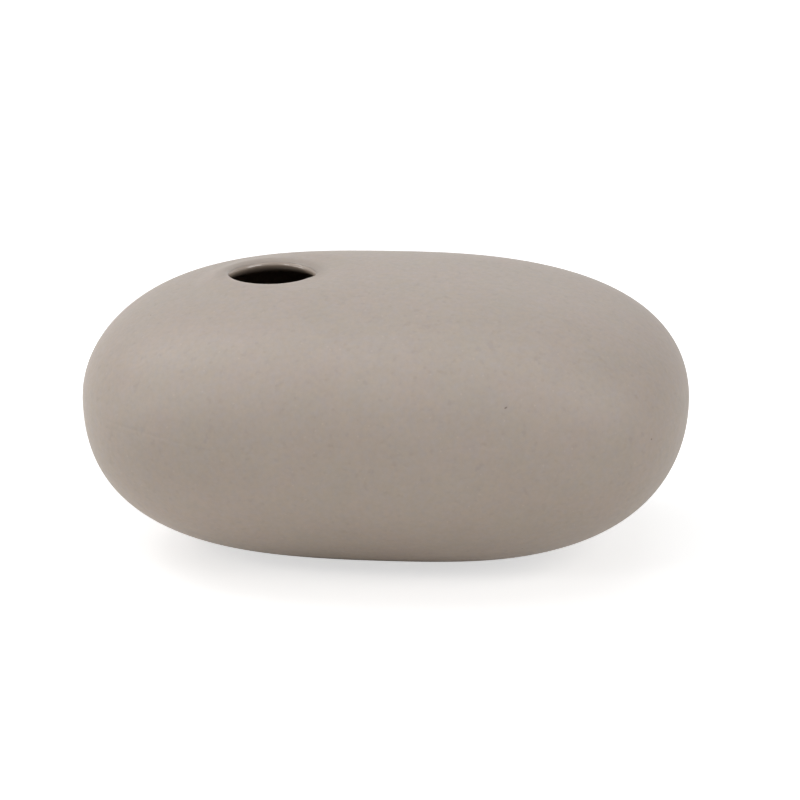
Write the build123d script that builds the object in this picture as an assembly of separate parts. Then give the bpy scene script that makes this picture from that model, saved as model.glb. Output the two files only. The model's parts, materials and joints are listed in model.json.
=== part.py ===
from build123d import *
import math
import os

# Pillow vase: a hollow pebble of matte stoneware with one small round mouth near the left end of its top.
# Millimetres, +Z up, +X along the length towards the right end, the front towards -Y.
# The origin is under the middle of the object, on the surface that it stands on.

# Outside of the vase
length = 240.0
depth = 160.0
seam_height = 64.0  # of the widest level above the foot
top_rise = 50.8  # of the highest point above the widest level
foot_cut = 2.25  # taken off the round underside to make the flat foot
keel_shift = 6.5  # of the lowest point of the round underside towards the right end

# Fullness of the outlines: each curve's handle as a share of the size that it runs along.
# An ellipse has 0.55, and a fuller, squarer outline has more.
plan_share = 0.74
top_share = 0.65
under_left_share = 0.70
under_right_share = 0.635
under_side_share = 0.55

# Clay and glazes
clay_wall = 5.0
floor_thickness = 6.5
coat_thickness = 0.4
lining_thickness = 0.4
bare_foot_height = 1.5  # of unglazed clay above the foot

# Mouth
mouth_radius = 16.5
mouth_from_middle = 45.5  # towards the left end
mouth_forward = 2.0  # of the lengthwise centre line
lip_radius = 1.5  # of the rounding from the top into the mouth
glaze_meeting = 1.0  # from the mouth's wall outwards to where the lining ends and the coat starts

# Foot and pads
foot_ring_width = 11.0
recess_depth = 1.5
pad_diameter = 8.0
pad_thickness = 1.0
pad_angle = 45.0  # round the foot ring, from its long axis

overrun = 5.0  # of a cutting solid past what it cuts

foot_level = pad_thickness
seam_level = foot_level + seam_height
clay_mouth_radius = mouth_radius + lining_thickness
mouth_axis = Axis((-mouth_from_middle, -mouth_forward, 0), (0, 0, 1))


def pillow(inset, drop):
    """The closed pebble, with its walls moved in by inset, and its lowest point drop below the widest level."""
    half_length = length / 2 - inset
    half_depth = depth / 2 - inset
    rise = top_rise - inset
    # a quarter of the widest level, from the end to the side, as shares of the half length and the half depth
    plan_shares = [(1, 0), (1, plan_share), (plan_share, 1), (0, 1)]
    top_shares = [top_share] * len(plan_shares)
    faces = []
    for end, under_end_share in ((-1, under_left_share), (1, under_right_share)):
        under_shares = [under_end_share, under_end_share, under_side_share, under_side_share]
        for side in (-1, 1):
            for pole_x, pole_z, shares in ((0, rise, top_shares), (keel_shift, -drop, under_shares)):
                rows = []
                for (along_share, across_share), share in zip(plan_shares, shares):
                    x = end * half_length * along_share
                    y = side * half_depth * across_share
                    start = (x, y, seam_level)
                    upright = (x, y, seam_level + pole_z * share)
                    level = (pole_x + (x - pole_x) * share, y * share, seam_level + pole_z)
                    pole = (pole_x, 0, seam_level + pole_z)
                    rows.append([start, upright, level, pole])
                faces.append(Face.make_bezier_surface(rows))
    return Solid(Shell(faces))


def slab(low, high):
    """Everything between two levels."""
    size = 2 * (length + depth)
    return Pos(0, 0, low) * Box(size, size, high - low, align=(Align.CENTER, Align.CENTER, Align.MIN))


def column(radius, low, high):
    """A round column on the mouth's axis between two levels."""
    base = Pos(mouth_axis.position.X, mouth_axis.position.Y, low)
    return base * Cylinder(radius, high - low, align=(Align.CENTER, Align.CENTER, Align.MIN))


def with_mouth(solid, radius, rounding):
    """A solid with a blind hole for the mouth, down to the widest level, and the hole's upper edge rounded."""
    holed = solid - column(radius, seam_level, above_top)
    wall = holed.faces().filter_by(GeomType.CYLINDER)
    rim = [edge for edge in wall.edges() if min((edge @ 0).Z, (edge @ 1).Z) > seam_level + overrun]
    return fillet(rim, rounding)


def cavity(cover):
    """The hollow inside the clay wall and floor, with both covered by a layer."""
    return pillow(coat_thickness + clay_wall + cover, seam_height - floor_thickness - cover)


def save(name, shape):
    export_step(shape, f"parts/{name}.step")


above_top = seam_level + top_rise + overrun
below_foot = slab(foot_level - foot_cut - overrun, foot_level)
under_drop = seam_height + foot_cut
outer_form = pillow(0, under_drop) - below_foot
clay_form = pillow(coat_thickness, under_drop - coat_thickness) - below_foot
glazed_outside = with_mouth(outer_form, mouth_radius, lip_radius)
clay_outside = with_mouth(clay_form, clay_mouth_radius, lip_radius - coat_thickness)
clay_cavity = cavity(0)
lined_cavity = cavity(lining_thickness)

# Clay body, in its two halves that meet at the widest level
body = clay_outside - clay_cavity
upper_shell = body & slab(seam_level, above_top)
lower_shell = body & slab(foot_level, seam_level)
foot_box = lower_shell.faces().sort_by(Axis.Z)[0].bounding_box()
foot_middle = Pos(foot_box.center())
recess_outline = Ellipse(foot_box.size.X / 2 - foot_ring_width, foot_box.size.Y / 2 - foot_ring_width)
lower_shell -= foot_middle * extrude(recess_outline, amount=recess_depth)

# Glazes
skin = glazed_outside - clay_outside
lining_column = column(mouth_radius + glaze_meeting, seam_level, above_top)
matte_outer_glaze = (skin & slab(foot_level + bare_foot_height, above_top)) - lining_column
gloss_inner_glaze = (clay_cavity - column(mouth_radius, seam_level, above_top)) + (skin & lining_column)
gloss_inner_glaze -= lined_cavity

# Pads
pad_track_x = (foot_box.size.X - foot_ring_width) / 2 * math.cos(math.radians(pad_angle))
pad_track_y = (foot_box.size.Y - foot_ring_width) / 2 * math.sin(math.radians(pad_angle))
pad = Cylinder(pad_diameter / 2, pad_thickness, align=(Align.CENTER, Align.CENTER, Align.MAX))

os.makedirs("parts", exist_ok=True)
save("upper_shell", upper_shell)
save("lower_shell", lower_shell)
save("matte_outer_glaze", matte_outer_glaze)
save("gloss_inner_glaze", gloss_inner_glaze)
for row, side in (("front", -1), ("rear", 1)):
    for column_name, end in (("left", -1), ("right", 1)):
        place = foot_middle * Pos(end * pad_track_x, side * pad_track_y)
        save(f"base_pad_{row}_{column_name}", place * pad)
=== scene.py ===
import json
import math

import bpy
import numpy as np
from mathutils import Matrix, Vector


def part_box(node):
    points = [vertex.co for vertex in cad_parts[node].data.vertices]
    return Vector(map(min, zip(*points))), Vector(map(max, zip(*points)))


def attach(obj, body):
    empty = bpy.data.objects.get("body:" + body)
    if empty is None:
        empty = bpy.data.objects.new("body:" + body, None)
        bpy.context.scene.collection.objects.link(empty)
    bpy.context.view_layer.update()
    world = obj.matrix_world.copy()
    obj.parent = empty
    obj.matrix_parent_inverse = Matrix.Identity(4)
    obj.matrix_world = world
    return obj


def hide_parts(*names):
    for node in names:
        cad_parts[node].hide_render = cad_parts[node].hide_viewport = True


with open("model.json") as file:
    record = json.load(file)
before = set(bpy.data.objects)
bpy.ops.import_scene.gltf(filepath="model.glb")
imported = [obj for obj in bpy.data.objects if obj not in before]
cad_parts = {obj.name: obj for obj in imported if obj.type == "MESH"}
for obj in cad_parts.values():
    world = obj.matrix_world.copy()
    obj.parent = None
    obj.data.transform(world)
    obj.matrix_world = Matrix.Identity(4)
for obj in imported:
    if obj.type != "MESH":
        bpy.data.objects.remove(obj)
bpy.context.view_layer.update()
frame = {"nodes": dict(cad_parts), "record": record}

# Pillow vase in metres: +Z up, +X towards the right end, the front towards -Y.
mm = 0.001

# Sizes and places of the solids
coat_low, coat_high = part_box("matte_outer_glaze")
clay_low, clay_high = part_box("upper_shell")
lining_low, lining_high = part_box("gloss_inner_glaze")
foot_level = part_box("lower_shell")[0].z
half_length = (coat_high.x - coat_low.x) / 2
half_depth = (coat_high.y - coat_low.y) / 2
seam_level = clay_low.z
top_rise = coat_high.z - seam_level
coat_edge_level = coat_low.z
glaze = coat_high.x - clay_high.x
lined_inset = coat_high.x - lining_high.x + glaze
lined_drop = seam_level - lining_low.z - glaze
mouth_shift = np.array([0.5, 0]) * mm  # of the lip's middle from the bore's axis
mouth_widening = 0.3 * mm  # of the throat past the bore's radius
mouth_mount = next(m for m in frame["record"]["mounts"] if m["name"] == "mouth")
mouth = np.array(mouth_mount["pos_m"][:2]) + mouth_shift
mouth_radius = mouth_mount["dims"]["r_mm"] * mm + mouth_widening

# Form of the pebble, with each curve's handle as a share of the size that it runs along
plan_share = 0.74
top_share = 0.65
under_left_share = 0.70
under_right_share = 0.635
under_side_share = 0.55
keel_shift = 6.5 * mm  # of the round underside's lowest point towards the right end
foot_cut = 2.25 * mm  # taken off there to make the flat foot

# Lip and throat: the lip is crisp at the front of the mouth, and soft at its back and its two ends
crisp_lip = 1.0 * mm  # width of the rounding into the throat
soft_lip = 4.5 * mm
crisp_drop = 1.0 * mm  # and its depth
soft_drop = 2.5 * mm
end_drop = 0.5 * mm  # more depth at the two ends
throat_end_reach = 5.0 * mm  # of the round inner end of the throat, outwards
slope_step = 0.2 * mm  # outwards from the lip, over which the slope of the top is measured
bend_share = 0.55  # handles of a round bend
throat_bend_share = 0.42  # and of the throat's inner end

# Where the lip changes, as shares of the way from the mouth's middle to its edge
soft_start_share = -0.5  # backwards, from where it turns soft
soft_span_share = 0.75
soft_lean_share = 0.1  # of the way to the right, which counts as backwards too
end_start_share = 0.3  # sideways, from where it gets deeper
end_span_share = 0.5

# Levelling of the rim
rim_levelling = np.array([1.86, 0.15]) * mm  # lowers it at the right and the back, and raises it opposite
rim_raise = 0.34 * mm  # raises it all round
levelled_width = 3 * mm  # round the mouth, with all of that levelling
levelling_reach = 13 * mm  # further out, over which it ends
levelled_rise_share = 0.5  # of the top's rise, above which it is whole

# Foot
foot_ring_width = 11 * mm
recess_depth = 1.5 * mm
foot_edge_round = 0.8 * mm
foot_corner_share = 0.35  # of the bare clay's side, which the foot's outer edge rounds off
recess_edge_share = 0.5  # of the recess's depth, which the ring's inner edge rounds off
recess_corner_share = 0.06  # of the recess's half width, which its corner rounds off
recess_middle_share = 0.97  # of the same, up to where the middle is closed

# Slow waves of the hand on the outside
undulation = 0.25 * mm  # from the highest point of all waves together to the lowest
wave_count = 9
shortest_wave = 45 * mm
longest_wave = 110 * mm
wave_seed = 7

# Line where the halves meet
seam_groove = 0.07 * mm
seam_groove_width = 0.7 * mm
seam_ridge_share = 0.4  # of the groove's depth, in the ridge above it
seam_ridge_place_share = 2.4  # of the groove's width, from its middle up to the ridge
seam_low = -1.2 * mm  # of the line to the widest level, along most of the vase
seam_high = 2.5 * mm  # and at the left end
seam_rise_start_share = -0.45  # of the half length, from where it rises towards the left
seam_rise_span_share = 0.35
seam_faint_share = 0.25  # of the groove's depth, which is left at the right
seam_faint_start_share = 0.15  # of the half length, from where it gets deeper towards the left
seam_faint_span_share = 0.5

# Pads, from near the middle of the hollow face round the rim to the other face
pad_profile_shares = [  # of the radius and the height
    (0.4, 0.04), (0.75, 0), (0.9, 0), (0.97, 0.12),
    (1, 0.4), (0.99, 0.75), (0.94, 1), (0.6, 1),
]
pad_hollow_share = 0.05  # of the height, at the middle of the hollow face

# Resolution
columns = 400
under_rows = 44
seam_rows = 15  # on each side of the widest level, in a band that holds the line where the halves meet
seam_band_share = 0.03  # of the way up or down from the widest level, in that band
top_rows = 84
lip_rows = 18
coat_lip_rows = 11  # of the lip's rows, those that the matte coat covers
throat_rows = 16
inner_rows = 40  # of the ceiling, and as many below it
edge_share = 0.008  # of the way up to the widest level, over which the coat's lower edge rounds off
edge_depth_share = 0.5  # of the coat's thickness, which it loses there
coat_back_step = 4  # rows of the glaze's face for each row of the coat's back
lining_back_step = 3  # of the lining's back
clay_step = 2  # and of the clay
foot_bend_rows = 3
foot_edge_rows = 5
foot_ring_rows = 8
recess_rows = 12
pad_turns = 64
outline_points = 4001  # of a quarter of the widest level
halvings = 48  # of the range in which a curve's place is looked for

# Mouth's part of the coat
smooth_rim = 0.8 * mm  # from the mouth's wall outwards, of glossier coat, with a painted highlight at the front
smooth_rim_end = 2.2 * mm
rim_painted_highlight = 0.16  # how much of the bright tone its painted highlight has
rim_gloss = 0.12  # how much less rough it is
mouth_shade_reach = 6.5 * mm  # of painted shade round the back of the mouth and its ends
lip_front = -3 * mm  # from the mouth's middle, where the front of the lip starts
lip_front_end = -11 * mm

# Painted shade on the lowest part of the coat, darker towards the foot
foot_shade_full = 2 * mm  # level below which the painted shade is darkest
foot_shade_end = 11 * mm  # level above which it has its full colour

# Dark flecks in the coat, and the one long one among them
speck_depth = 0.8  # in the coat's relief, against its mottling
large_fleck = (50.3 * mm, -73.1 * mm, 83.3 * mm)
large_fleck_turn = (0, math.radians(-28), 0)
large_fleck_size = (0.75 * mm, 1.5 * mm, 0.38 * mm)

# Tones of the coat and the lining, as shares of their slots' red, green and blue
coat_tones = {
    "cool": (0.965, 0.975, 0.955),
    "pale": (1.03, 1.03, 1.03),
    "warm": (1.035, 0.985, 0.985),
    "green": (0.99, 1.01, 0.94),
    "blue": (0.93, 1.0, 1.18),
    "yellow": (1.07, 1.0, 0.84),
    "mottle": (0.7, 0.69, 0.67),
    # for the pale dots, and for the painted highlight on the front rim
    "bright": (1.5, 1.5, 1.5),
    "blot": (0.45, 0.42, 0.4),
    "speck": (0.3, 0.26, 0.24),
    # painted shade round the back of the mouth and its ends
    "thin": (0.76, 0.75, 0.73),
    # painted shade towards the foot
    "foot": (0.3, 0.28, 0.26),
}
lining_dark = (0.97, 0.87, 0.77)
lining_pale = (1.11, 1.0, 0.89)

# Camera
picture_width = 800
target_pixel = (386.08, 389.16)  # where the picture shows the point that the camera is aimed at
pixels_per_mm = 2.513  # at that point
camera_distance = 1.1
camera_turn = math.radians(4.63)  # to the right of the front
camera_rise = math.radians(18.40)

# Floor and world
floor_half = 6.0
floor_tint = (0.8, 0.76, 0.7, 1)  # in the light that it throws on the vase
floor_grey = (0.8, 0.8, 0.8, 1)  # as it is seen
floor_roughness = 0.9
white = (1, 1, 1, 1)
lit_floor = 0.4  # from the middle, of floor whose white comes partly from the lamps
lit_floor_end = 1.6  # beyond it all of the floor's white is its own
lamps_share = 0.4  # of the lit floor's white
shaded_floor = 0.04  # from the middle, of floor without its own white in the gloss of the underside
shaded_floor_end = 0.09
world_light = 0.072  # the world's strength in its light on the vase; where it is seen it has 1

# Lamps: place, size and watts
lamp_aim = (0, 0, 0.06)
lamps = {
    "top": ((0, -0.1, 1.5), (1.2, 0.9), 5.6),
    "left_top": ((-0.85, 0.15, 1.4), (0.5, 0.5), 2.9),
    "left_high": ((-1.25, 0.25, 1.35), (0.8, 0.8), 6.4),
    "left_low": ((-1.6, -0.6, 0.35), (1.0, 0.7), 6.3),
    "left_front": ((-1.05, -1.3, 1.1), (0.36, 0.36), 4.2),
    "right_front": ((1.3, -1.0, 1.0), (1.2, 1.0), 13.4),
    "right_top": ((0.8, -0.2, 1.4), (0.6, 0.6), 0.8),
    "back_high": ((0.2, 1.7, 1.1), (1.2, 0.8), 2.0),
}

slots = {entry["slot"]: entry for entry in frame["record"]["materials"]}


# Shared shape functions

def curve_weights(t):
    """The four weights of a cubic curve at t."""
    s = 1 - t
    return np.stack([s ** 3, 3 * s * s * t, 3 * s * t * t, t ** 3])


def solve(function, target, low, high):
    """Where a falling function of an array meets its target, between two limits."""
    low = np.full(np.shape(target), float(low))
    high = np.full(np.shape(target), float(high))
    for _ in range(halvings):
        middle = (low + high) / 2
        above = function(middle) > target
        low = np.where(above, middle, low)
        high = np.where(above, high, middle)
    return (low + high) / 2


def blend(start, end, share):
    """What lies at a share of the way from start to end."""
    return start + (end - start) * share


def smooth(value):
    """A soft step from 0 to 1 as the value goes from 0 to 1."""
    value = np.clip(value, 0, 1)
    return value * value * (3 - 2 * value)


class Pebble:
    """The closed pebble, its walls moved in by inset, and its lowest point drop below the widest level."""

    # each column's place on the widest level: how far along its quarter, at which end and on which side
    quarter = np.arange(columns) * 4 / columns
    turn = quarter.astype(int)
    along = np.where(turn % 2 == 0, quarter - turn, 1 - (quarter - turn))
    end = np.where((turn == 0) | (turn == 3), 1, -1)
    side = np.where(turn < 2, 1, -1)
    weights = curve_weights(along)
    across_shares = np.array([0, plan_share, 1, 1])

    def __init__(self, inset, drop):
        self.half = np.array([half_length - inset, half_depth - inset])
        self.rise = top_rise - inset
        self.drop = drop
        self.outline = np.stack([
            self.end * self.half[0] * (self.across_shares[::-1] @ self.weights),
            self.side * self.half[1] * (self.across_shares @ self.weights),
        ], 1)
        fine = curve_weights(np.linspace(0, 1, outline_points))
        x = self.half[0] * (self.across_shares[::-1] @ fine)
        y = self.half[1] * (self.across_shares @ fine)
        self.bearing = np.arctan2(y, x)
        self.reach = np.hypot(x, y)

    def top(self, points):
        """Points of the plan, raised to the top surface."""
        points = np.asarray(points)
        bearing = np.arctan2(abs(points[..., 1]), abs(points[..., 0]))
        width = np.hypot(points[..., 0], points[..., 1]) / np.interp(bearing, self.bearing, self.reach)
        width = np.clip(width, 0, 1)

        def narrowing(t):
            w = curve_weights(t)
            return w[0] + w[1] + top_share * w[2]

        w = curve_weights(solve(narrowing, width, 0, 1))
        level = seam_level + self.rise * (top_share * w[1] + w[2] + w[3])
        return np.concatenate([points, level[..., None]], -1)

    def under(self, t):
        """The ring of the underside at t between the widest level and the lowest point, for each column."""
        w = curve_weights(t)
        plan = self.weights
        end_shares = np.where(self.end < 0, under_left_share, under_right_share)
        side_shares = np.full(columns, under_side_share)
        shares = np.stack([end_shares, end_shares, side_shares, side_shares])
        x = self.end * self.half[0] * self.across_shares[::-1][:, None]
        y = self.side * self.half[1] * self.across_shares[:, None]
        low_x = keel_shift + (x - keel_shift) * shares
        return np.stack([
            (plan * (x * (w[0] + w[1]) + low_x * w[2])).sum(0) + keel_shift * w[3],
            (plan * (y * (w[0] + w[1]) + y * shares * w[2])).sum(0),
            seam_level - self.drop * ((plan * shares).sum(0) * w[1] + w[2] + w[3]),
        ], 1)

    def under_at(self, level):
        """How far down the underside each column meets a level."""
        return solve(lambda t: self.under(t)[:, 2], np.full(columns, level), 0, 1)


outside = Pebble(0, seam_level - foot_level + foot_cut)
inside = Pebble(lined_inset, lined_drop)


# Rings of the vase's surfaces

rays = outside.outline - mouth
rays = rays / np.hypot(rays[:, 0], rays[:, 1])[:, None]
sideways = abs(rays[:, 0])
backwards = rays[:, 1] + soft_lean_share * rays[:, 0]
softness = smooth((backwards - soft_start_share) / soft_span_share)
lip_width = blend(crisp_lip, soft_lip, softness)
lip_drop = blend(crisp_drop, soft_drop, softness)
lip_drop = lip_drop + end_drop * softness * smooth((sideways - end_start_share) / end_span_share)


def at(radius, level):
    """A ring around the mouth's axis, from each column's distance to the axis and level."""
    radius = np.broadcast_to(radius, (columns,))
    level = np.broadcast_to(level, (columns,))
    return np.concatenate([mouth + rays * radius[:, None], level[:, None]], 1)


def level_ring(plan, level):
    """A ring at one level, from its points in plan."""
    return np.concatenate([plan, np.full((columns, 1), level)], 1)


def bend(before, corner, after, rows, share=bend_share):
    """Rings of a round bend from one ring to another about the ring of its corner, without the first."""
    first = blend(before, corner, share)
    last = blend(after, corner, share)
    return [
        w[0] * before + w[1] * first + w[2] * last + w[3] * after
        for w in curve_weights(np.linspace(0, 1, rows + 1)[1:]).T
    ]


def straight(start, end, rows):
    """Rings from one ring to another, without the first."""
    return [blend(start, end, share) for share in np.linspace(0, 1, rows + 1)[1:]]


def throat_rings():
    """The first ring of the lip, and those of its rounding and of the throat's round inner end."""
    start = outside.top(mouth + rays * (mouth_radius + lip_width)[:, None])
    further = outside.top(mouth + rays * (mouth_radius + lip_width + slope_step)[:, None])
    slope = (further[:, 2] - start[:, 2]) / slope_step
    corner = at(mouth_radius, start[:, 2] - slope * lip_width)
    wall_top = at(mouth_radius, corner[:, 2] - lip_drop)
    ceiling = inside.top(mouth + rays * mouth_radius)
    beyond = inside.top(mouth + rays * (mouth_radius + throat_end_reach))
    lip = bend(start, corner, wall_top, lip_rows)
    return start, lip + bend(wall_top, ceiling, beyond, throat_rows, throat_bend_share)


def sheet_rings():
    """The glazed surface as one sheet of rings: up the outside, in through the mouth and down the inside.
    With them come the rows where the top, the lip and the inside's lower half start."""
    down = outside.under_at(coat_edge_level)
    steps = np.concatenate([
        np.linspace(1, seam_band_share, under_rows + 1),
        np.linspace(seam_band_share, 0, seam_rows + 1)[1:-1],
    ])
    steps = np.insert(steps, 1, 1 - edge_share)
    rings = [outside.under(down * share) for share in steps]
    seam = len(rings)
    lip_start, throat = throat_rings()
    steps = np.concatenate([
        np.linspace(0, seam_band_share, seam_rows + 1)[:-1],
        np.linspace(seam_band_share, 1, top_rows + 1),
    ])
    for share in smooth(steps):
        rings.append(outside.top(blend(outside.outline, lip_start[:, :2], share)))
    lip = len(rings)
    rings += throat
    ceiling = rings[-1][:, :2]
    for share in smooth(np.linspace(0, 1, inner_rows + 1)[1:]):
        rings.append(inside.top(blend(ceiling, inside.outline, share)))
    inner_seam = len(rings) - 1
    for t in np.linspace(0, 1, inner_rows + 1)[1:-1]:
        rings.append(inside.under(np.full(columns, t)))
    return np.array(rings), seam, lip, inner_seam


def normals(rings):
    """The outward direction at each point of a sheet of rings."""
    round_step = np.roll(rings, -1, 1) - np.roll(rings, 1, 1)
    along_step = np.gradient(rings, axis=0)
    cross = np.cross(round_step, along_step)
    return cross / np.linalg.norm(cross, axis=-1, keepdims=True)


def level_rim(rings):
    """Tilts the lip and the throat a little against the slope of the top."""
    away = rings[..., :2] - mouth
    distance = np.hypot(away[..., 0], away[..., 1])
    fall = smooth(1 - (distance - mouth_radius - levelled_width) / levelling_reach)
    above = smooth((rings[..., 2] - seam_level) / (top_rise * levelled_rise_share))
    lowering = (away @ rim_levelling) / np.maximum(distance, mouth_radius) - rim_raise
    rings[..., 2] -= fall * above * lowering


def hand_waves(rings):
    """How far the slow waves of the hand move each point out. That is never above 0."""
    random = np.random.default_rng(wave_seed)
    waves = np.zeros(rings.shape[:2])
    for _ in range(wave_count):
        direction = random.normal(size=3)
        direction /= np.linalg.norm(direction)
        length = random.uniform(shortest_wave, longest_wave)
        waves += np.sin(rings @ direction * math.tau / length + random.uniform(0, math.tau))
    return undulation * (waves - waves.max()) / np.ptp(waves)


def seam_line(rings):
    """How far the line where the halves meet moves each point out: a groove with a low ridge above it."""
    x = rings[..., 0] / half_length
    wander = blend(seam_low, seam_high, smooth((seam_rise_start_share - x) / seam_rise_span_share))
    away = (rings[..., 2] - seam_level - wander) / seam_groove_width
    strength = blend(seam_faint_share, 1, smooth((seam_faint_start_share - x) / seam_faint_span_share))
    groove = np.exp(-away ** 2)
    ridge = seam_ridge_share * np.exp(-(away - seam_ridge_place_share) ** 2)
    return seam_groove * strength * (ridge - groove - seam_ridge_share)


def hand_marks(rings, lip):
    """How far the waves and the line move each point of the outside out. They fade away over the lip."""
    outer = np.clip((lip + lip_rows - np.arange(len(rings))) / lip_rows, 0, 1)[:, None]
    return (hand_waves(rings) + seam_line(rings)) * outer


def foot_rings(edge):
    """Bare clay below the coat, from a first ring down to the round foot edge, the foot ring and the recess.
    With its rings comes the recess's middle."""
    clay = Pebble(glaze, seam_level - foot_level + foot_cut - glaze)
    foot = clay.under(clay.under_at(foot_level))
    low, high = foot.min(0), foot.max(0)
    centre = (low + high) / 2
    spread = (foot - centre)[:, :2]
    bearing = np.arctan2(spread[:, 1] / (high - low)[1], spread[:, 0] / (high - low)[0])
    half = (high - low)[:2] / 2 - foot_ring_width
    recess = centre[:2] + half * np.stack([np.cos(bearing), np.sin(bearing)], 1)
    toward = (recess - foot[:, :2]) / np.linalg.norm(recess - foot[:, :2], axis=1)[:, None]
    recess_level = foot_level + recess_depth
    outer_foot = blend(foot, edge, foot_corner_share)
    foot_start = level_ring(foot[:, :2] + toward * foot_edge_round, foot_level)
    inner_edge = level_ring(recess - toward * foot_edge_round, foot_level)
    wall = level_ring(recess, foot_level)
    raised = level_ring(recess, recess_level)
    middle = level_ring(np.tile(centre[:2], (columns, 1)), recess_level)
    rings = straight(edge, outer_foot, foot_bend_rows)
    rings += bend(outer_foot, foot, foot_start, foot_edge_rows)
    rings += straight(foot_start, inner_edge, foot_ring_rows)
    rings += bend(inner_edge, wall, blend(wall, raised, recess_edge_share), foot_bend_rows)
    rings += bend(rings[-1], raised, blend(raised, middle, recess_corner_share), foot_bend_rows)
    rings += straight(rings[-1], blend(raised, middle, recess_middle_share), recess_rows)
    return np.array(rings), middle[0]


# Meshes

def every(step, first, last):
    """Each row that is a multiple of step after the first one, and always the last one."""
    return np.append(np.arange(first, last, step), last)


def mesh_of(name, rings, closed, poles=(), flat_rows=()):
    """A mesh whose faces join each ring to the next one, and if closed, the last ring to the first, or if
    not, the two end rings to the poles. Faces after a flat row are shaded flat, so that the edges
    beside them look crisp."""
    rings = np.asarray(rings)
    count, around = rings.shape[:2]
    points = rings.reshape(-1, 3)
    ring = np.arange(count if closed else count - 1)[:, None]
    above = (ring + 1) % count
    column = np.arange(around)[None]
    following = (column + 1) % around
    corners = [
        ring * around + column,
        ring * around + following,
        above * around + following,
        above * around + column,
    ]
    faces = np.stack([np.broadcast_to(c, (len(ring), around)) for c in corners], -1).reshape(-1, 4).tolist()
    if len(poles):
        points = np.concatenate([points, np.array(poles)])
        first, last = count * around, count * around + 1
        top = (count - 1) * around
        for j in range(around):
            k = (j + 1) % around
            faces.append((first, k, j))
            faces.append((last, top + j, top + k))
    mesh = bpy.data.meshes.new(name)
    mesh.from_pydata(points.tolist(), [], faces)
    mesh.validate()
    mesh.shade_smooth()
    for row in flat_rows:
        for face in mesh.polygons[row * around:(row + 1) * around]:
            face.use_smooth = False
    return mesh


def pad_mesh(name, low, high):
    """A soft disc with a rounded rim and a slightly hollow face."""
    centre = np.array((low + high) / 2)
    radius = (high.x - low.x) / 2
    rise = high.z - low.z
    angles = np.arange(pad_turns) * math.tau / pad_turns
    rings = []
    for radius_share, rise_share in pad_profile_shares:
        ring = np.empty((pad_turns, 3))
        ring[:, 0] = centre[0] + np.cos(angles) * radius * radius_share
        ring[:, 1] = centre[1] + np.sin(angles) * radius * radius_share
        ring[:, 2] = low.z + rise * rise_share
        rings.append(ring)
    poles = [(centre[0], centre[1], low.z + rise * pad_hollow_share), (centre[0], centre[1], high.z)]
    return mesh_of(name, rings, False, poles)


def add_piece(name, mesh, node, material):
    """Puts a piece in the place of a node."""
    piece = bpy.data.objects.new(name, mesh)
    bpy.context.scene.collection.objects.link(piece)
    mesh.materials.append(material)
    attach(piece, "root")
    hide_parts(node)


# Materials

class Nodes:
    """The nodes of a material or the world, added by short calls."""

    def __init__(self, owner):
        owner.use_nodes = True
        self.tree = owner.node_tree

    def add(self, kind, **values):
        node = self.tree.nodes.new(kind)
        for key, value in values.items():
            setattr(node, key, value)
        return node

    def feed(self, socket, value):
        if isinstance(value, bpy.types.NodeSocket):
            self.tree.links.new(value, socket)
        else:
            socket.default_value = value

    def math(self, operation, *values):
        node = self.add("ShaderNodeMath", operation=operation)
        for socket, value in zip(node.inputs, values):
            self.feed(socket, value)
        return node.outputs[0]

    def opposite(self, value):
        return self.math("SUBTRACT", 1, value)

    def span(self, value, from_low, from_high, to_low=0, to_high=1):
        """The value carried from one range to another, and held at its ends."""
        node = self.add("ShaderNodeMapRange")
        for socket, entry in zip(node.inputs, (value, from_low, from_high, to_low, to_high)):
            self.feed(socket, entry)
        return node.outputs[0]

    def seen(self):
        """1 for what is seen, straight, in gloss or through glass, and 0 for light on the vase."""
        path = self.add("ShaderNodeLightPath")
        seen = self.math("MAXIMUM", path.outputs["Is Camera Ray"], path.outputs["Is Glossy Ray"])
        return self.math("MAXIMUM", seen, path.outputs["Is Transmission Ray"])


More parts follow.
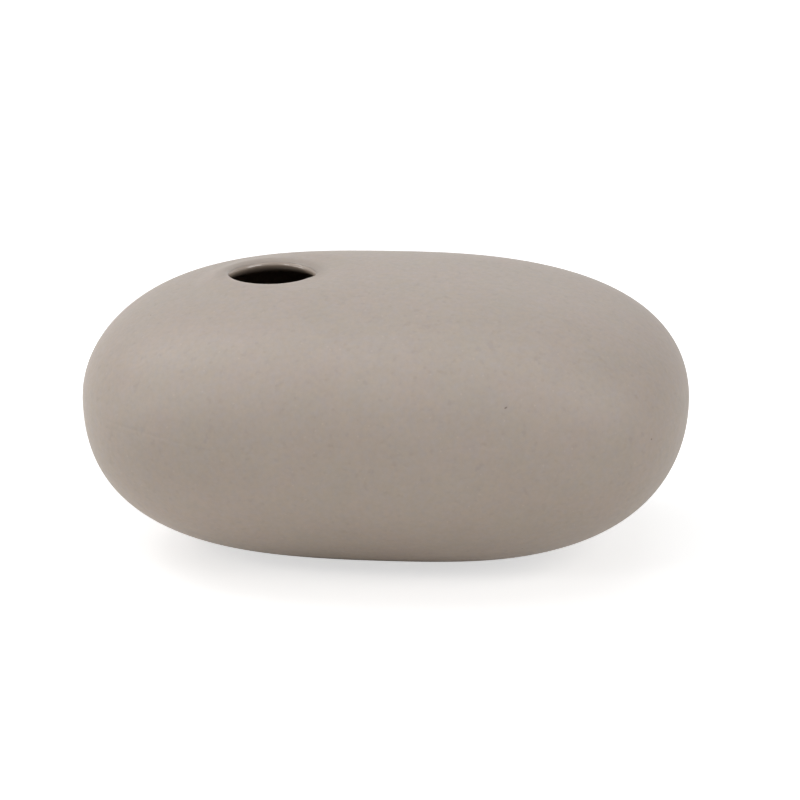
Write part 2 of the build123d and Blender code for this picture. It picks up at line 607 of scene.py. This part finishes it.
class Surface(Nodes):
    """A material's nodes around its shader. Patterns follow the place on the piece."""

    dot_core_share = 0.4  # of a dot's reach, which has its whole strength
    fleck_core_share = 0.5

    def __init__(self, name):
        self.material = bpy.data.materials.new(name)
        super().__init__(self.material)
        self.shader = self.tree.nodes["Principled BSDF"]
        self.place = self.add("ShaderNodeTexCoord").outputs["Object"]

    def shifted(self, shift):
        """The place, moved so that one pattern doesn't repeat another."""
        mapping = self.add("ShaderNodeMapping")
        self.feed(mapping.inputs["Location"], shift)
        self.feed(mapping.inputs["Vector"], self.place)
        return mapping.outputs[0]

    def noise(self, scale, detail, roughness=0.5, shift=(0, 0, 0)):
        node = self.add("ShaderNodeTexNoise")
        self.feed(node.inputs["Vector"], self.shifted(shift))
        self.feed(node.inputs["Scale"], scale)
        self.feed(node.inputs["Detail"], detail)
        self.feed(node.inputs["Roughness"], roughness)
        return node.outputs["Fac"]

    def dots(self, scale, reach, rarity, shift=(0, 0, 0)):
        """Round dots, one in each of some cells."""
        node = self.add("ShaderNodeTexVoronoi")
        self.feed(node.inputs["Vector"], self.shifted(shift))
        self.feed(node.inputs["Scale"], scale)
        chosen = self.add("ShaderNodeSeparateColor")
        self.feed(chosen.inputs[0], node.outputs["Color"])
        chosen = self.math("GREATER_THAN", chosen.outputs[0], rarity)
        near = self.span(node.outputs["Distance"], reach, reach * self.dot_core_share)
        return self.math("MULTIPLY", near, chosen)

    def distance(self, mapping):
        """How far a mapped place is from the middle of its mapping."""
        self.feed(mapping.inputs["Vector"], self.place)
        length = self.add("ShaderNodeVectorMath", operation="LENGTH")
        self.feed(length.inputs[0], mapping.outputs[0])
        return length.outputs["Value"]

    def fleck(self, place, turn, size):
        """One long fleck at a place on the surface."""
        mapping = self.add("ShaderNodeMapping", vector_type="TEXTURE")
        self.feed(mapping.inputs["Location"], place)
        self.feed(mapping.inputs["Rotation"], turn)
        self.feed(mapping.inputs["Scale"], size)
        return self.span(self.distance(mapping), 1, self.fleck_core_share)

    def near_axis(self, centre, inner, outer):
        """1 within one distance of an upright axis, and 0 beyond another."""
        mapping = self.add("ShaderNodeMapping")
        self.feed(mapping.inputs["Location"], (-centre[0], -centre[1], 0))
        self.feed(mapping.inputs["Scale"], (1, 1, 0))
        return self.span(self.distance(mapping), outer, inner)

    def mix(self, share, first, second):
        node = self.add("ShaderNodeMix", data_type="RGBA")
        self.feed(node.inputs["Factor"], share)
        self.feed(node.inputs[6], first)
        self.feed(node.inputs[7], second)
        return node.outputs[2]

    def layer(self, base, pattern, start, full, most, tone):
        """The base with none of a tone where a pattern is at start, and the most of it where that is full."""
        return self.mix(self.span(pattern, start, full, 0, most), base, tone)

    def bump(self, height, distance, strength):
        node = self.add("ShaderNodeBump")
        self.feed(node.inputs["Height"], height)
        self.feed(node.inputs["Distance"], distance)
        self.feed(node.inputs["Strength"], strength)
        return node.outputs[0]

    def finish(self, base, roughness, normal):
        self.feed(self.shader.inputs["Base Color"], base)
        self.feed(self.shader.inputs["Roughness"], roughness)
        self.feed(self.shader.inputs["Normal"], normal)
        return self.material


def colour(slot_name, tone):
    """A slot's base colour, with each channel multiplied."""
    return (*(channel * share for channel, share in zip(slots[slot_name]["base_color"], tone)), 1)


def lighter(slot_name, share):
    """A slot's base colour, with all channels multiplied alike."""
    return colour(slot_name, (share, share, share))


def matte_coat():
    """Satin stone-grey coat: soft clouds, fine mottling, small pale and dark dots, a few dark flecks, painted
    shade round the mouth and towards the foot, and a painted highlight on the front rim.
    """
    m = Surface("matte_coat")
    tones = {name: colour("matte_glaze", tone) for name, tone in coat_tones.items()}
    clouds = m.noise(scale=34, detail=3, roughness=0.55)
    warmth = m.noise(scale=52, detail=2)
    patches = m.noise(scale=170, detail=4, roughness=0.65)
    tints = m.noise(scale=110, detail=3, roughness=0.6, shift=(4.4, 8.1, 2.3))
    fine_tints = m.noise(scale=430, detail=2, roughness=0.6, shift=(9.2, 0.6, 6.8))
    mottle = m.noise(scale=520, detail=3, roughness=0.6)
    blots = m.noise(scale=330, detail=1, shift=(3.1, 1.7, 5.3))
    pale_dots = m.dots(scale=260, reach=0.13, rarity=0.5)
    specks = m.dots(scale=62, reach=0.028, rarity=0.75, shift=(7.7, 2.9, 0.4))
    specks = m.math("MAXIMUM", specks, m.fleck(large_fleck, large_fleck_turn, large_fleck_size))
    base = m.mix(m.span(clouds, 0.3, 0.7), tones["cool"], tones["pale"])
    base = m.layer(base, warmth, start=0.36, full=0.64, most=0.55, tone=tones["warm"])
    base = m.layer(base, tints, start=0.3, full=0.7, most=0.4, tone=tones["green"])
    base = m.layer(base, fine_tints, start=0.5, full=0.3, most=0.3, tone=tones["blue"])
    base = m.layer(base, fine_tints, start=0.5, full=0.7, most=0.3, tone=tones["yellow"])
    base = m.layer(base, patches, start=0.3, full=0.7, most=0.16, tone=tones["mottle"])
    base = m.layer(base, mottle, start=0.35, full=0.72, most=0.19, tone=tones["mottle"])
    base = m.layer(base, pale_dots, start=0, full=1, most=0.18, tone=tones["bright"])
    base = m.layer(base, blots, start=0.62, full=0.76, most=0.12, tone=tones["blot"])
    base = m.layer(base, specks, start=0, full=1, most=0.75, tone=tones["speck"])

    # round the mouth: a smooth rim with a painted highlight at the front, and painted shade at the back and
    # the ends
    place = m.add("ShaderNodeSeparateXYZ")
    m.feed(place.inputs[0], m.place)
    front = m.span(place.outputs["Y"], mouth[1] + lip_front, mouth[1] + lip_front_end)
    rim = m.near_axis(mouth, mouth_radius + smooth_rim, mouth_radius + smooth_rim_end)
    thin = m.near_axis(mouth, mouth_radius, mouth_radius + mouth_shade_reach)
    front_rim_highlight = m.math("MULTIPLY", rim, front)
    # painted highlight along the front rim
    base = m.layer(base, front_rim_highlight, start=0, full=1, most=rim_painted_highlight, tone=tones["bright"])
    # painted shade round the back of the mouth and its ends
    base = m.mix(m.math("MULTIPLY", thin, m.opposite(front)), base, tones["thin"])

    # painted shade, darker towards the foot
    base = m.layer(base, place.outputs["Z"], start=foot_shade_end, full=foot_shade_full, most=1, tone=tones["foot"])

    height = m.math("SUBTRACT", mottle, m.math("MULTIPLY", specks, speck_depth))
    satin = m.span(mottle, 0.3, 0.7, to_low=0.5, to_high=0.58)
    roughness = m.math("SUBTRACT", satin, m.math("MULTIPLY", rim, rim_gloss))
    return m.finish(base, roughness, m.bump(height, distance=0.035 * mm, strength=0.5))


def gloss_lining():
    """Glossy, darker lining of the inside."""
    m = Surface("gloss_lining")
    pools = m.noise(scale=60, detail=3, roughness=0.55)
    ripples = m.noise(scale=140, detail=2)
    dark, pale = colour("gloss_glaze", lining_dark), colour("gloss_glaze", lining_pale)
    base = m.mix(m.span(pools, 0.35, 0.65), dark, pale)
    m.feed(m.shader.inputs["Specular IOR Level"], 1)
    roughness = m.span(pools, 0.3, 0.7, to_low=0.16, to_high=0.26)
    return m.finish(base, roughness, m.bump(ripples, distance=0.04 * mm, strength=0.4))


def bare_clay():
    """Unglazed stoneware with grog."""
    m = Surface("bare_clay")
    grain = m.noise(scale=1400, detail=4, roughness=0.7)
    patches = m.noise(scale=45, detail=3, roughness=0.6)
    base = m.mix(m.span(patches, 0.35, 0.65), lighter("stoneware", 0.93), lighter("stoneware", 1.05))
    base = m.layer(base, grain, start=0.35, full=0.7, most=0.35, tone=lighter("stoneware", 0.62))
    roughness = m.span(grain, 0.3, 0.7, to_low=0.8, to_high=0.95)
    return m.finish(base, roughness, m.bump(grain, distance=0.12 * mm, strength=0.8))


def soft_pad():
    """Pale silicone."""
    m = Surface("soft_pad")
    haze = m.noise(scale=900, detail=3, roughness=0.6)
    base = m.mix(m.span(haze, 0.3, 0.7), lighter("base_pad", 0.9), lighter("base_pad", 1.05))
    roughness = m.span(haze, 0.3, 0.7, to_low=0.4, to_high=0.55)
    return m.finish(base, roughness, m.bump(haze, distance=0.02 * mm, strength=0.5))


def pale_floor():
    """Matte floor that keeps the shadow, and is white around it where it is seen, straight or in gloss."""
    m = Surface("pale_floor")
    seen = m.seen()
    in_gloss = m.opposite(m.add("ShaderNodeLightPath").outputs["Is Camera Ray"])
    from_lamps = m.math("MULTIPLY", m.near_axis((0, 0), lit_floor, lit_floor_end), lamps_share)
    shade = m.math("MULTIPLY", m.near_axis((0, 0), shaded_floor, shaded_floor_end), in_gloss)
    whiteness = m.math("MULTIPLY", m.opposite(from_lamps), m.opposite(shade))
    m.feed(m.shader.inputs["Base Color"], m.mix(seen, floor_tint, floor_grey))
    m.feed(m.shader.inputs["Roughness"], floor_roughness)
    m.feed(m.shader.inputs["Emission Color"], white)
    m.feed(m.shader.inputs["Emission Strength"], m.math("MULTIPLY", seen, whiteness))
    return m.material


# Glazes and clay

rings, seam_row, lip_row, inner_seam_row = sheet_rings()
level_rim(rings)
rings = rings + normals(rings) * hand_marks(rings, lip_row)[..., None]
buried = rings - normals(rings) * glaze
rings[0] = blend(rings[0], buried[0], edge_depth_share)
last_row = len(rings) - 1
meeting_row = lip_row + coat_lip_rows  # where the coat ends and the lining starts
lined_floor = np.array((keel_shift, 0, seam_level - lined_drop))  # middle of the floor inside
clay_floor = lined_floor - (0, 0, glaze)
clay_material = bare_clay()

coat_back = buried[every(coat_back_step, 0, meeting_row)][::-1]
coat_rings = np.concatenate([rings[:meeting_row + 1], coat_back])
coat_mesh = mesh_of("matte_coat", coat_rings, True, flat_rows=[meeting_row, len(coat_rings) - 1])
add_piece("matte_coat", coat_mesh, "matte_outer_glaze", matte_coat())

lining_back = buried[every(lining_back_step, meeting_row, last_row)][::-1]
lining_rings = np.concatenate([lining_back, rings[meeting_row:]])
lining_mesh = mesh_of("gloss_lining", lining_rings, False, [clay_floor, lined_floor], [len(lining_back) - 1])
add_piece("gloss_lining", lining_mesh, "gloss_inner_glaze", gloss_lining())

upper_mesh = mesh_of("upper_clay", buried[every(clay_step, seam_row, inner_seam_row)], True)
add_piece("upper_clay", upper_mesh, "upper_shell", clay_material)

foot, foot_middle = foot_rings(buried[0])
lower_outside = buried[every(clay_step, 0, seam_row)]
lower_inside = buried[every(clay_step, inner_seam_row, last_row)]
lower_rings = np.concatenate([foot[::-1], lower_outside, lower_inside])
lower_mesh = mesh_of("lower_clay", lower_rings, False, [foot_middle, clay_floor])
add_piece("lower_clay", lower_mesh, "lower_shell", clay_material)

# Pads
pad_material = soft_pad()
for node in sorted(n for n in frame["nodes"] if n.startswith("base_pad")):
    name = node.replace("base_pad", "soft_pad")
    add_piece(name, pad_mesh(name, *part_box(node)), node, pad_material)

# Camera, aimed at the middle of the widest level
target = Vector((0, 0, seam_level))
camera = bpy.data.objects.new("camera", bpy.data.cameras.new("camera"))
bpy.context.scene.collection.objects.link(camera)
back = Vector((
    math.sin(camera_turn) * math.cos(camera_rise),
    -math.cos(camera_turn) * math.cos(camera_rise),
    math.sin(camera_rise),
))
camera.location = target + back * camera_distance
camera.rotation_euler = back.to_track_quat("Z", "Y").to_euler()
camera.data.sensor_fit = "HORIZONTAL"
camera.data.lens = camera.data.sensor_width * pixels_per_mm / mm * camera_distance / picture_width
camera.data.shift_x = 0.5 - target_pixel[0] / picture_width
camera.data.shift_y = target_pixel[1] / picture_width - 0.5
bpy.context.scene.camera = camera

# Floor
floor_corners = [(x * floor_half, y * floor_half, 0) for x, y in ((-1, -1), (1, -1), (1, 1), (-1, 1))]
floor_mesh = bpy.data.meshes.new("floor")
floor_mesh.from_pydata(floor_corners, [], [(0, 1, 2, 3)])
floor_mesh.materials.append(pale_floor())
floor = bpy.data.objects.new("floor", floor_mesh)
bpy.context.scene.collection.objects.link(floor)

# World, white where it is seen and faint in its light on the vase
world = bpy.data.worlds.new("studio")
bpy.context.scene.world = world
sky = Nodes(world)
background = world.node_tree.nodes["Background"]
sky.feed(background.inputs["Color"], white)
sky.feed(background.inputs["Strength"], sky.span(sky.seen(), 0, 1, to_low=world_light))


# Lamps

def softbox(name, place, size, watts):
    """A flat lamp that faces the vase."""
    light = bpy.data.lights.new(name, "AREA")
    light.shape = "RECTANGLE"
    light.size, light.size_y = size
    light.energy = watts
    lamp = bpy.data.objects.new(name, light)
    bpy.context.scene.collection.objects.link(lamp)
    lamp.location = place
    lamp.rotation_euler = (Vector(place) - Vector(lamp_aim)).to_track_quat("Z", "Y").to_euler()


for name, (place, size, watts) in lamps.items():
    softbox(f"{name}_softbox", place, size, watts)

bpy.context.scene.view_settings.view_transform = "Standard"
